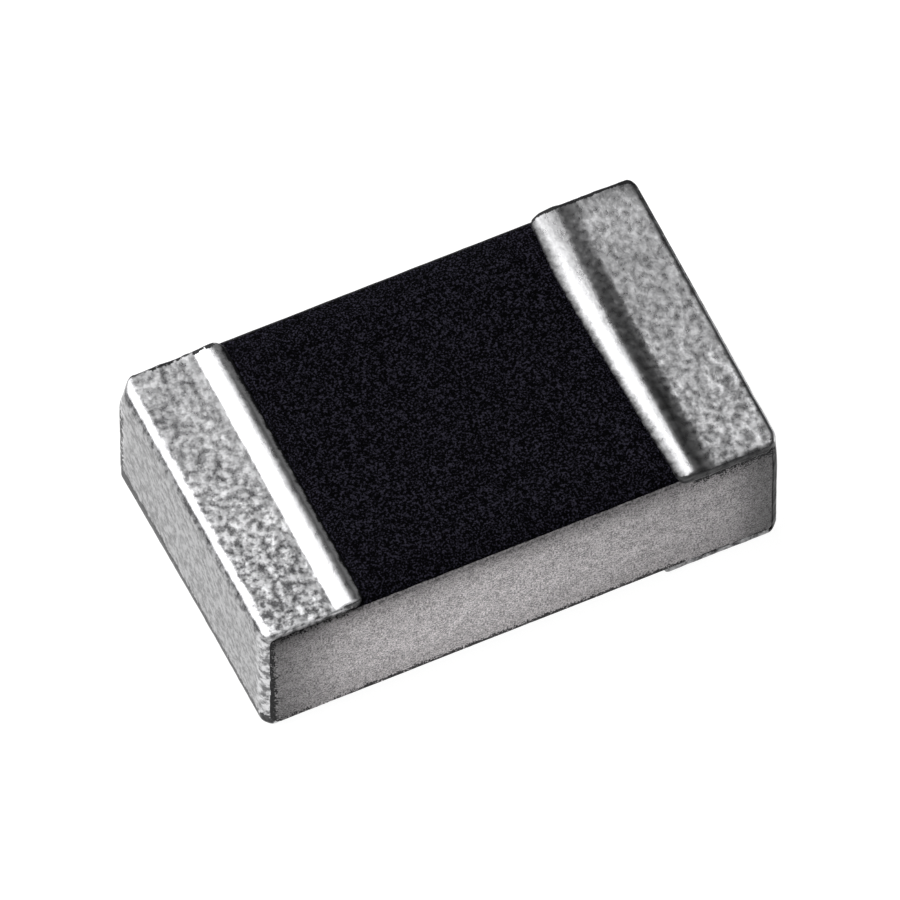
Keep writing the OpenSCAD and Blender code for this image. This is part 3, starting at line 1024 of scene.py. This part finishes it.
def tin_from_foot(sheet, spot, left, right):
    """Distance from the foot of the nose, towards the chip's end."""
    sideways = sheet.math("DIVIDE", spot.y, TIN_HALF["right"] / MM)
    slant = sheet.product(sideways, -0.5 * right.foot_slant)
    belly = sheet.product(sheet.rest(sheet.product(sideways, sideways)), -right.foot_belly)
    bow = sheet.spread(sideways, 0.5, 1.0, 0.0, right.bead_bow, smooth=True)
    right_foot = sheet.total(slant, belly, bow, TIN_END / MM - right.land)
    foot = sheet.choose(spot.is_right, TIN_END / MM - left.land, right_foot)
    return sheet.less(spot.from_middle, foot)


def tin_from_margin(sheet, spot, left, right):
    """Distance from the tin's long margins that also follows its round corners at the end and the nose."""
    corner = sheet.choose(spot.is_right, left.corner_wrap, right.front_brow)
    nose = sheet.choose(spot.is_right, left.nose_corner, right.nose_corner)
    distance = spot.inside
    for from_edge, radius in ((spot.to_end, corner), (spot.from_foot, nose)):
        past = sheet.largest(sheet.less(radius, from_edge), 0.0)
        drawn_in = sheet.math("DIVIDE", sheet.product(past, past), sheet.product(radius, 2.0))
        distance = sheet.less(distance, drawn_in)
    return distance


def tin_side_tone(sheet, spot):
    """Tone of the tin's sides: painted shade that keeps them darker than the lands, a painted highlight at
    the left end's upright corners, and dull on the right arm's margin.
    """
    # Sides darker than the lands as painted shade; bright is a painted highlight at the left corners
    plain, bright, dull = 0.56, 0.9, 0.38
    corner_highlight = sheet.product(sheet.over(spot.inside, (0.07, 0.03)),
                              sheet.over(spot.from_middle, (0.94, 0.96)))
    at_arm = sheet.product(sheet.over(spot.inside, (0.016, 0.01)), sheet.over(spot.z, (0.09, 0.06)))
    left_tone = sheet.choose(corner_highlight, plain, bright)
    right_tone = sheet.choose(at_arm, plain, dull)
    return sheet.choose(spot.is_right, left_tone, right_tone)


def right_land_tone_and_painted_shade(sheet, spot):
    """Tone of the right land: painted shade in the hollow outside its bead, most so towards the front, darker
    on the bead's back end, and lighter or darker in bands across the land.
    """
    on_bead = sheet.over(spot.y, (0.45, 0.6, 1.0, 0.82))
    by_width = sheet.over(spot.y, (0.3, -0.3, 0.98, 1.1), (-0.3, -0.45, 0.0, -0.04),
                          (0.3, 0.5, 0.0, 0.32), (0.5, 0.6, 0.0, -0.62))
    to_end_in_front = sheet.over(spot.x, (0.84, 0.96, 0.0, 0.12))
    to_end_at_back = sheet.over(spot.x, (0.86, 0.96, 0.0, -0.25))
    to_end = sheet.choose(sheet.over(spot.y, (0.25, 0.5)), to_end_in_front, to_end_at_back)
    on_flat = sheet.total(by_width, to_end)
    bow = sheet.shift(spot.y, (-0.2, -0.5, 0.0, -0.011), (-0.04, 0.2, -0.012, 0.016),
                      (0.42, 0.58, 0.0, -0.014))
    narrowed = sheet.shift(spot.y, (-0.3, -0.5, 0.0, 0.014), (0.0, 0.12, 0.0, 0.016),
                           (0.2, 0.34, 0.0, -0.012))
    from_bow = sheet.less(spot.from_foot, bow)
    into = sheet.over(from_bow, (0.08, 0.12))
    out = sheet.over(sheet.total(from_bow, narrowed), (0.125, 0.16, 1.0, 0.0))
    # Painted shade in the hollow outside the bead
    hollow_shade = sheet.over(spot.y, (0.48, -0.3, 0.92, 0.26), (0.52, 0.6, 0.0, -0.3))
    around = sheet.choose(sheet.over(from_bow, (0.1, 0.14)), on_bead, on_flat)
    return sheet.choose(sheet.product(into, out), around, hollow_shade)


def tin_mottle(sheet, place, grains, spot):
    """How pale the tin is: mottled and clouded on the lands, clean on the bead, darker on the end edge as
    painted shade that dims its highlight, grainy on its sides.
    """
    cloud_size = 0.09
    both = grains["Both"]
    cloudiness = sheet.choose(spot.is_right, 0.2, 0.08)
    cloud = sheet.spread(sheet.noise(place, MM / cloud_size, 1.0), 0.3, 0.7, -1.0, 1.0)
    soft = sheet.spread(both, 0.0, 1.0, 0.22, 0.78)
    strong = sheet.spread(both, 0.28, 0.72)
    clean = sheet.spread(both, 0.0, 1.0, 0.45, 0.8)
    # Darker on the end edge: painted shade that dims its highlight
    dimmed_end_edge = sheet.spread(both, 0.0, 1.0, 0.2, 0.55)
    left_strength = sheet.over(spot.y, (0.3, -0.3, 0.4, 0.95))
    right_strength = sheet.over(spot.y, (0.2, -0.4, 0.0, 0.4))
    strength = sheet.choose(spot.is_right, left_strength, right_strength)
    mottled = sheet.total(sheet.choose(strength, soft, strong), sheet.product(cloud, cloudiness))
    past_bead = sheet.over(spot.from_foot, (0.1, 0.15))
    before_end = sheet.spread(sheet.math("DIVIDE", spot.to_end, spot.fillet), 0.8, 1.1)
    on_lands = sheet.choose(before_end, dimmed_end_edge, sheet.choose(past_bead, clean, mottled))
    return sheet.choose(spot.on_land, strong, on_lands)


def tin_thin_foot(sheet, grains, spot, left, right):
    """Mask of the dotted foot of the nose, where the tin thins out on the coat."""
    dot_reach = 0.006 / MM
    left_feather = sheet.product(sheet.over(spot.y, (0.3, 0.6, 1.0, 1.6)), left.foot_feather)
    right_run = sheet.over(spot.y, (-0.2, -0.5, 1.0, 1.3), (0.2, 0.42, 0.0, 0.3), (0.45, 0.56, 0.0, -0.45))
    right_feather = sheet.product(right_run, right.foot_feather)
    feather = sheet.choose(spot.is_right, left_feather, right_feather)
    patchy = sheet.total(spot.from_foot, sheet.spread(grains["Both"], 0.0, 1.0, -dot_reach, dot_reach))
    full = sheet.choose(spot.is_right, 0.3, 0.0)
    return sheet.product(sheet.spread(sheet.math("DIVIDE", patchy, feather), 1.0, full), spot.is_top)


def tin_burr(sheet, place, spot):
    """Mask of the matt patches along the front margin of the left land."""
    patch_size = 0.05
    patches = sheet.spread(sheet.noise(place, MM / patch_size, 1.0), 0.25, 0.42)
    at_front = sheet.product(sheet.over(spot.y, (-0.5, -0.55)), sheet.over(spot.inside, (0.02, 0.012)))
    on_left = sheet.product(sheet.over(spot.x, (-0.6, -0.66)), spot.is_top)
    return sheet.product(at_front, on_left, patches)


def tin_margin_painted_shade(sheet, grains, spot):
    """Mask of painted shade: a dark patchy line along the long margins and round the edges of the end faces,
    with a painted contact shadow along the soles and the left toe.
    """
    coarseness = 0.6
    below_top = sheet.rest(spot.is_top)
    by_bead = sheet.over(spot.x, (-0.71, -0.66, 0.1, 1.1))
    on_wrap = sheet.product(sheet.over(spot.x, (-0.925, -0.945)), below_top)
    left_line = sheet.product(sheet.over(spot.from_margin, (0.01, 0.004)), by_bead, sheet.rest(on_wrap))
    right_line = sheet.over(spot.from_margin, (0.012, 0.005))
    front_line = sheet.choose(spot.is_right, left_line, right_line)
    back_line = sheet.product(sheet.over(spot.from_margin, (0.026, 0.013)),
                              sheet.over(spot.x, (-0.94, -0.88)))
    darkness = sheet.choose(spot.is_right, 0.78, 1.2)
    near_floor = sheet.over(spot.z, (0.03, 0.08, 0.35, 1.0))
    line = sheet.product(sheet.choose(spot.is_back, front_line, back_line), darkness, near_floor)
    # Painted shade at the right end's upright corners and along its top edge
    end_corner = sheet.product(sheet.over(spot.x, (0.945, 0.955, 0.0, 1.3)),
                               sheet.over(spot.inside, (0.05, 0.04)), below_top)
    brow = sheet.product(sheet.over(spot.x, (0.986, 0.992)), sheet.over(spot.z, (0.53, 0.55)))
    # Painted contact shadow along the soles and the left toe
    sole = sheet.over(spot.z, (0.018, 0.006))
    raised = sheet.total(spot.z, sheet.shift(spot.y, (-0.6, 0.6, 0.0, 0.012)))
    left_toe = sheet.product(sheet.over(spot.x, (-0.94, -0.96)), sheet.over(raised, (0.09, 0.062, 0.0, 0.95)))
    back_upright = sheet.product(sheet.over(spot.x, (-0.95, -0.97)), sheet.over(spot.z, (0.5, 0.4)),
                                 sheet.over(spot.inside, (0.06, 0.034, 0.0, 0.75)), spot.is_back)
    nearest = sheet.largest(line, sole, end_corner, brow, left_toe, back_upright)
    strongest = sheet.largest(sheet.choose(spot.is_back, 0.84, 0.94), end_corner)
    strongest = sheet.math("MINIMUM", strongest, 1.0)
    return sheet.product(dotted(sheet, grains, nearest, coarseness), strongest)


def metal_finish(name, bright, roughness, depth):
    """Grainy plated or printed metal."""
    shade = 0.72
    material, sheet, shader, place = new_finish(name)
    grains = grain(sheet, place, coarse=0.03, fine=0.009, fine_share=0.5)
    sheet.fill(shader, {
        "Base Color": sheet.mix(grains["Both"], rgba(darker(bright, shade)), rgba(bright)),
        "Roughness": sheet.spread(grains["Coarse"], 0.0, 1.0, *roughness),
        "Metallic": 1.0,
        "Normal": sheet.bump(grains["Both"], depth),
    })
    return material


def printed_finish(name, bright, roughness, coat):
    """Fired printed paste or glass."""
    shade = 0.7
    material, sheet, shader, place = new_finish(name)
    grains = grain(sheet, place, coarse=0.03, fine=0.008, fine_share=0.5)
    sheet.fill(shader, {
        "Base Color": sheet.mix(grains["Both"], rgba(darker(bright, shade)), rgba(bright)),
        "Roughness": sheet.spread(grains["Fine"], 0.0, 1.0, *roughness),
        "Coat Weight": coat,
        "Normal": sheet.bump(grains["Both"], 0.0005),
    })
    return material


# Operators

class CHIP_OT_plate(bpy.types.Operator):
    """Builds the ceramic plate"""

    bl_idname = "chip.plate"
    bl_label = "Ceramic Plate"

    def execute(self, context):
        bm = shape_plate(context.scene.chip_plate)
        ceramic = ceramic_finish(context.scene.chip_finishes)
        finish_piece(bm, "ceramic_body", "ceramic_plate", ceramic)
        return {"FINISHED"}


class CHIP_OT_coat(bpy.types.Operator):
    """Builds the black coat over the film"""

    bl_idname = "chip.coat"
    bl_label = "Black Coat"

    def execute(self, context):
        bm = shape_coat(context.scene.chip_coat)
        black = coat_finish(context.scene.chip_finishes)
        finish_piece(bm, "black_coat", "black_overcoat", black)
        return {"FINISHED"}


class CHIP_OT_terminals(bpy.types.Operator):
    """Builds both tin-plated terminals"""

    bl_idname = "chip.terminals"
    bl_label = "Tin Terminals"

    def execute(self, context):
        scene = context.scene
        tin = tin_finish(scene.chip_finishes, scene.chip_left, scene.chip_right)
        for side, sizes in (("left", scene.chip_left), ("right", scene.chip_right)):
            bm = shape_terminal(side, sizes, scene.chip_coat)
            finish_piece(bm, f"tin_terminal_{side}", f"tin_plating_{side}", tin)
        return {"FINISHED"}


class CHIP_OT_inner_layers(bpy.types.Operator):
    """Gives the printed and plated layers inside the chip their finishes"""

    bl_idname = "chip.inner_layers"
    bl_label = "Inner Layers"

    def execute(self, context):
        colours = context.scene.chip_finishes
        silver = metal_finish("fired silver print", colours.silver, (0.45, 0.6), 0.0006)
        finishes = {
            "nickel_barrier": metal_finish("satin nickel", colours.nickel, (0.3, 0.45), 0.0004),
            "edge_electrode": metal_finish("dull edge metal", colours.edge_metal, (0.5, 0.65), 0.0005),
            "top_electrode": silver,
            "back_electrode": silver,
            "resistive_film": printed_finish("fired resistor print", colours.resistor, (0.6, 0.8), 0.0),
            "glass_coat": printed_finish("fired glass print", colours.glass, (0.15, 0.3), 0.4),
        }
        for name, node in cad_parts.items():
            for start, material in finishes.items():
                if name.startswith(start):
                    node.data.materials.clear()
                    node.data.materials.append(material)
        return {"FINISHED"}


class CHIP_OT_stage(bpy.types.Operator):
    """Builds the floor, the soft light and the camera"""

    bl_idname = "chip.stage"
    bl_label = "Stage"

    def execute(self, context):
        scene = context.scene
        stage = scene.chip_stage
        from_back_left = Vector((-0.45, 0.5, 0.74))
        lay_floor(scene, scene.chip_finishes, stage.table_glow)
        hang_sun(scene, "back_left_soft_light", from_back_left, stage.key_strength, stage.key_spread)
        light_room(scene, stage.room)
        aim_camera(scene, stage)
        scene.view_settings.view_transform = "Standard"
        return {"FINISHED"}


def lay_floor(scene, colours, glow):
    """Plain pale light table, just under the solder lands."""
    floor_half, gap = 0.25, 5e-7
    cloud_size, shade = 2.0, 0.985
    material, sheet, shader, place = new_finish("pale floor")
    tone = sheet.spread(sheet.noise(place, MM / cloud_size), 0.3, 0.7)
    sheet.fill(shader, {
        "Base Color": sheet.mix(tone, rgba(darker(colours.floor, shade)), rgba(colours.floor)),
        "Roughness": 1.0,
        "Specular IOR Level": 0.0,
        "Emission Color": (1.0, 1.0, 1.0, 1.0),
        "Emission Strength": glow,
    })
    bm = bmesh.new()
    bmesh.ops.create_grid(bm, x_segments=1, y_segments=1, size=floor_half)
    bmesh.ops.translate(bm, verts=bm.verts, vec=(0.0, 0.0, -gap))
    mesh = bpy.data.meshes.new("floor")
    bm.to_mesh(mesh)
    bm.free()
    mesh.materials.append(material)
    floor = bpy.data.objects.new("floor", mesh)
    scene.collection.objects.link(floor)


def hang_sun(scene, name, towards, strength, spread):
    """Wide soft light from far off, shining from this direction on the chip."""
    distance = 0.1
    light = bpy.data.lights.new(name, "SUN")
    light.energy = strength
    light.angle = spread
    lamp = bpy.data.objects.new(name, light)
    lamp.location = towards.normalized() * distance
    lamp.rotation_mode = "QUATERNION"
    lamp.rotation_quaternion = towards.to_track_quat("Z", "Y")
    scene.collection.objects.link(lamp)


def light_room(scene, level):
    """Faint even light from all round."""
    world = bpy.data.worlds.new("room")
    world.use_nodes = True
    background = world.node_tree.nodes["Background"]
    background.inputs["Color"].default_value = (level, level, level, 1.0)
    scene.world = world


def aim_camera(scene, stage):
    """Camera at the photograph's angle, with the plate where the photograph has it."""
    nearest, furthest = 0.1, 10.0
    camera_data = bpy.data.cameras.new("camera")
    camera_data.lens = stage.lens
    camera = bpy.data.objects.new("camera", camera_data)
    a, e = stage.azimuth, stage.elevation
    back = Vector((math.sin(a) * math.cos(e), -math.cos(a) * math.cos(e), math.sin(e)))
    right = Vector((math.cos(a), math.sin(a), 0.0))
    up = back.cross(right)
    middle = (PLATE_LOW + PLATE_HIGH) / 2.0
    aside = (PHOTO_SIDE / 2.0 - PHOTO_MIDDLE[0]) / PHOTO_SCALE
    above = (PHOTO_MIDDLE[1] - PHOTO_SIDE / 2.0) / PHOTO_SCALE
    distance = PHOTO_SIDE / PHOTO_SCALE * camera_data.lens / camera_data.sensor_width
    camera.location = (middle + right * aside + up * above + back * distance) / MM
    camera.rotation_mode = "QUATERNION"
    camera.rotation_quaternion = back.to_track_quat("Z", "Y")
    camera_data.clip_start = nearest * distance / MM
    camera_data.clip_end = furthest * distance / MM
    scene.collection.objects.link(camera)
    scene.camera = camera


class CHIP_PT_sidebar(bpy.types.Panel):
    """Lists the chip's pieces, finishes and stage"""

    bl_idname = "CHIP_PT_sidebar"
    bl_label = "Chip Resistor"
    bl_space_type = "VIEW_3D"
    bl_region_type = "UI"
    bl_category = "Chip"

    def draw(self, context):
        for operator in OPERATORS:
            self.layout.operator(operator.bl_idname)
        for attribute, group in GROUPS.items():
            column = self.layout.column(heading=attribute.replace("chip_", "").capitalize())
            for name in group.__annotations__:
                column.prop(getattr(context.scene, attribute), name)


GROUPS = {
    "chip_plate": PlateSizes,
    "chip_coat": CoatSizes,
    "chip_left": TerminalSizes,
    "chip_right": TerminalSizes,
    "chip_finishes": Finishes,
    "chip_stage": StageSettings,
}
OPERATORS = (CHIP_OT_plate, CHIP_OT_coat, CHIP_OT_terminals, CHIP_OT_inner_layers, CHIP_OT_stage)
CLASSES = (*dict.fromkeys(GROUPS.values()), *OPERATORS, CHIP_PT_sidebar)


def register():
    """Registers the classes and hangs their settings on the scene."""
    for cls in CLASSES:
        bpy.utils.register_class(cls)
    for attribute, group in GROUPS.items():
        setattr(bpy.types.Scene, attribute, PointerProperty(type=group))


def unregister():
    """Takes back what register did."""
    for attribute in GROUPS:
        delattr(bpy.types.Scene, attribute)
    for cls in reversed(CLASSES):
        bpy.utils.unregister_class(cls)


def set_ends(scene):
    """Sets what differs between the two terminals."""
    for end, lengths in END_LENGTHS.items():
        sizes = getattr(scene, end)
        for name, millimetres in lengths.items():
            setattr(sizes, name, millimetres / MM)
        for name, value in END_SHARES[end].items():
            setattr(sizes, name, value)


def main():
    """Builds everything in order."""
    register()
    set_ends(bpy.context.scene)
    bpy.ops.chip.plate()
    bpy.ops.chip.coat()
    bpy.ops.chip.terminals()
    bpy.ops.chip.inner_layers()
    bpy.ops.chip.stage()


if __name__ == "__main__":
    main()
